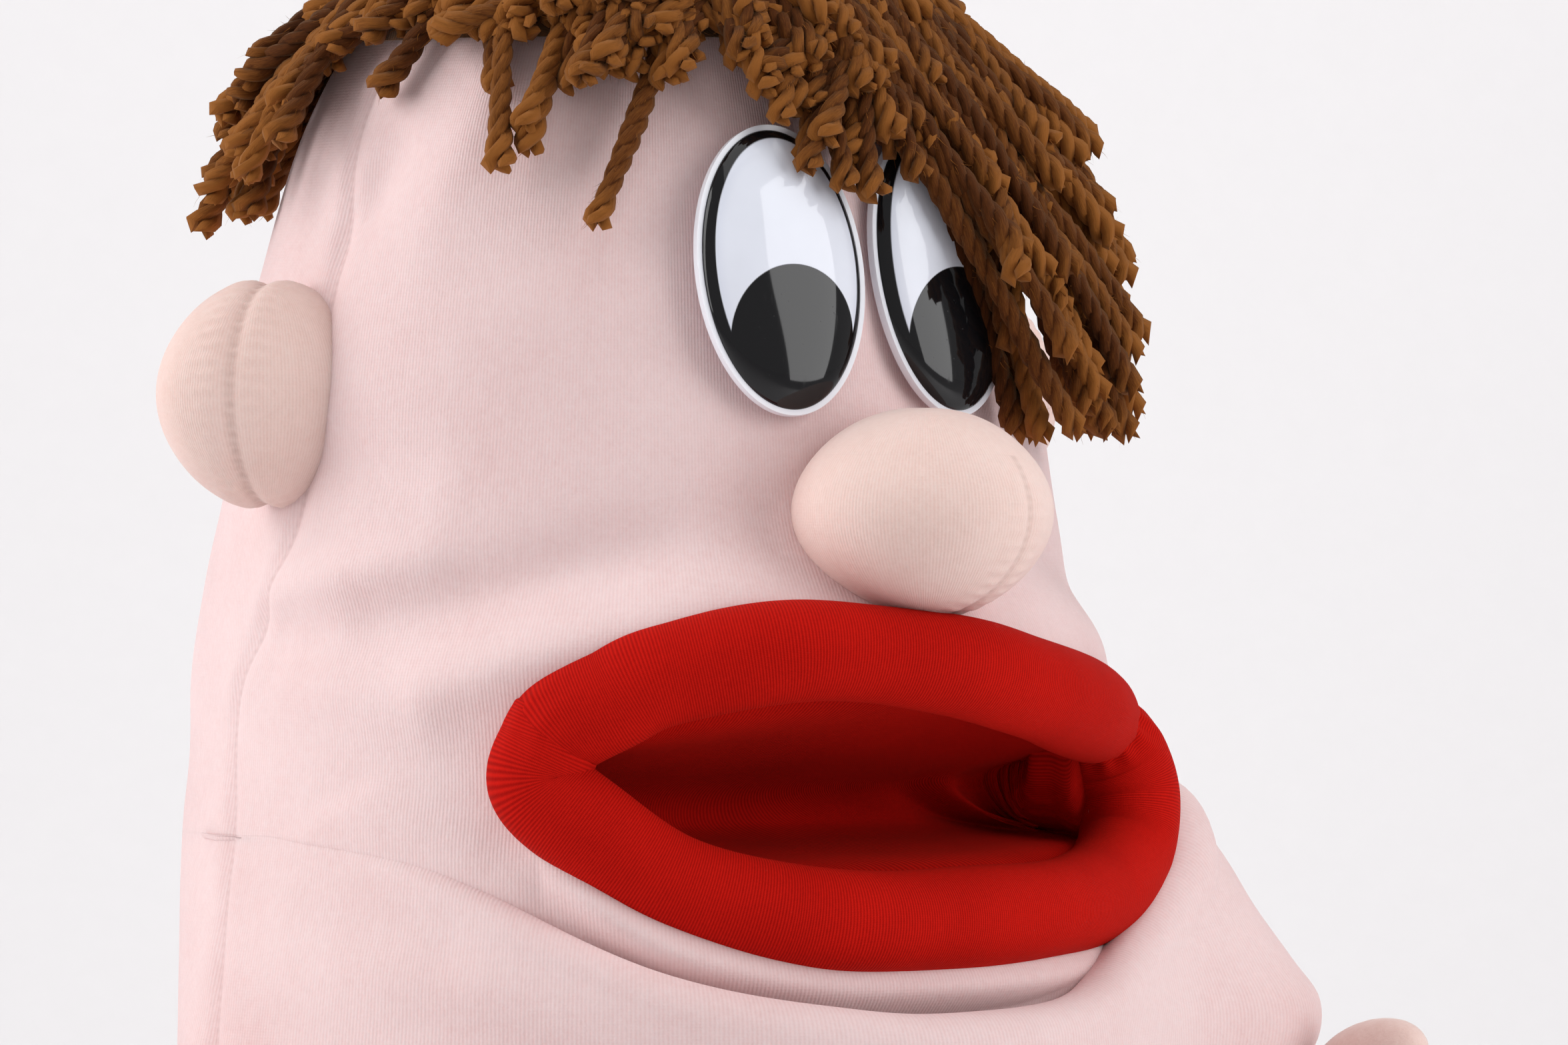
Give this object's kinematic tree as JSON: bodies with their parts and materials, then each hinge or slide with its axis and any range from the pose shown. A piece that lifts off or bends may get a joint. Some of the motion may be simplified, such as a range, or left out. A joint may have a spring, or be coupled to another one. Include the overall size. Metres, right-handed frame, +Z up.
{
  "type": "moving mouth puppet",
  "caption": "Plush hand puppet with a big stuffed-lip mouth that the operator's hand opens and closes, ball nose, oval eyes and yarn hair.",
  "frame": {"origin": "centre of the forearm opening, on the plane that the hem stands on", "axes": "+Z up along the forearm opening, the face looks along -Y, the puppet's left is +X"},
  "size_m": [0.356, 0.2678, 0.561],
  "materials": {
    "pink_velour": "matte",
    "peach_velour": "matte",
    "fibre_filling": "matte",
    "foam": "matte",
    "brown_yarn": "matte",
    "wig_cloth": "matte",
    "red_jersey": "matte",
    "lining_cloth": "matte",
    "eye_backing": "satin",
    "washer_plastic": "satin",
    "eye_black": "gloss",
    "eye_white": "gloss"
  },
  "bodies": {
    "torso": {"torso_cover_front": "pink_velour", "torso_cover_back": "pink_velour", "torso_padding_front": "foam", "torso_padding_back": "foam", "base_panel": "lining_cloth", "sleeve_cuff": "lining_cloth", "hem_band": "pink_velour", "hand_sleeve": "lining_cloth", "throat_cover": "pink_velour"},
    "neck": {"neck_padding": "foam"},
    "head": {"head_cover_front": "pink_velour", "head_cover_back": "pink_velour", "head_filling_front": "fibre_filling", "head_filling_back": "fibre_filling", "wig_cap": "wig_cloth", "hair_crown": "brown_yarn", "hair_fringe": "brown_yarn", "hair_left": "brown_yarn", "hair_right": "brown_yarn", "hair_back": "brown_yarn", "ear_left_cover": "peach_velour", "ear_left_filling": "fibre_filling", "ear_right_cover": "peach_velour", "ear_right_filling": "fibre_filling", "nose_cover": "peach_velour", "nose_filling": "fibre_filling", "eye_left_plate": "eye_backing", "eye_left_frame": "eye_black", "eye_left_white": "eye_white", "eye_left_washer": "washer_plastic", "eye_right_plate": "eye_backing", "eye_right_frame": "eye_black", "eye_right_white": "eye_white", "eye_right_washer": "washer_plastic", "upper_lip_cover": "red_jersey", "upper_lip_filling": "fibre_filling", "palate_lining": "red_jersey", "palate_pad": "foam", "finger_pocket": "lining_cloth", "cheek_cover_left": "pink_velour", "cheek_cover_right": "pink_velour", "mouth_fold_lining": "red_jersey", "lip_corner_left": "red_jersey", "lip_corner_right": "red_jersey"},
    "jaw": {"lower_lip_cover": "red_jersey", "lower_lip_filling": "fibre_filling", "jaw_lining": "red_jersey", "jaw_pad": "foam", "thumb_pocket": "lining_cloth", "chin_cover": "pink_velour"},
    "arm_left": {"arm_left_cover": "pink_velour", "arm_left_filling": "fibre_filling", "hand_left_cover": "peach_velour", "hand_left_filling": "fibre_filling"},
    "arm_right": {"arm_right_cover": "pink_velour", "arm_right_filling": "fibre_filling", "hand_right_cover": "peach_velour", "hand_right_filling": "fibre_filling"}
  },
  "joints": [
    {"name": "head_turn", "type": "hinge", "parent": "torso", "child": "neck", "pos_m": [0, 0.018, 0.228], "axis": [0, 0, 1], "range_deg": [-25, 25], "deforming": ["throat_cover"]},
    {"name": "head_nod", "type": "hinge", "parent": "neck", "child": "head", "pos_m": [0, 0.01, 0.285], "axis": [1, 0, 0], "range_deg": [-20, 20]},
    {"name": "jaw", "type": "hinge", "parent": "head", "child": "jaw", "pos_m": [0, -0.045, 0.312], "axis": [-1, 0, 0], "range_deg": [-10, 29], "deforming": ["cheek_cover_left", "cheek_cover_right", "mouth_fold_lining", "lip_corner_left", "lip_corner_right"]},
    {"name": "arm_left_swing", "type": "hinge", "parent": "torso", "child": "arm_left", "pos_m": [0.14, -0.004, 0.231], "axis": [-1, 0, 0], "range_deg": [-80, 50]},
    {"name": "arm_right_swing", "type": "hinge", "parent": "torso", "child": "arm_right", "pos_m": [-0.14, -0.004, 0.231], "axis": [-1, 0, 0], "range_deg": [-30, 120]}
  ]
}
